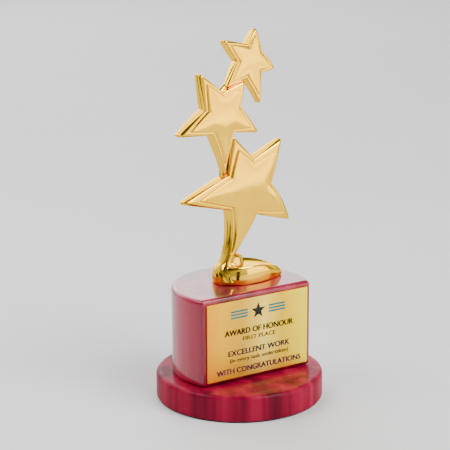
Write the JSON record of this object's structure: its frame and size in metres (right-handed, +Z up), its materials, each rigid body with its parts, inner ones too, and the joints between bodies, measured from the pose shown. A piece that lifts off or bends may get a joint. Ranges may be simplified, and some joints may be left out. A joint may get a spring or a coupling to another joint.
{
  "type": "star trophy",
  "caption": "Free-standing award trophy: stacked gilt stars on a pebble foot, a D-shaped wooden block with a nameplate and a round plinth.",
  "frame": {"origin": "centre of the underside, on the surface that the trophy stands on", "axes": "+Z up, -Y towards the side with the nameplate, +X to the right of someone reading the plate"},
  "size_m": [0.102, 0.102, 0.2218],
  "materials": {
    "gilt": "mirror-polished gold plating",
    "plate": "satin gold sheet with printed lettering",
    "lacquered_wood": "red piano lacquer over wood grain",
    "steel": "zinc-plated",
    "felt": "dark wool felt",
    "adhesive": "foam adhesive sheet"
  },
  "bodies": {
    "root": {"small_star_front": "gilt", "small_star_back": "gilt", "medium_star_front": "gilt", "medium_star_back": "gilt", "large_star_front": "gilt", "large_star_back": "gilt", "foot": "gilt", "small_star_dowel": "gilt", "medium_star_dowel": "gilt", "leg_pin": "steel", "foot_locating_pin": "steel", "tie_rod": "steel", "flat_washer": "steel", "spring_washer": "steel", "rod_nut": "steel", "plinth_screw_1": "steel", "plinth_screw_2": "steel", "plinth_screw_3": "steel", "block": "lacquered_wood", "plinth": "lacquered_wood", "nameplate": "plate", "nameplate_adhesive": "adhesive", "felt_pad": "felt"}
  },
  "joints": []
}
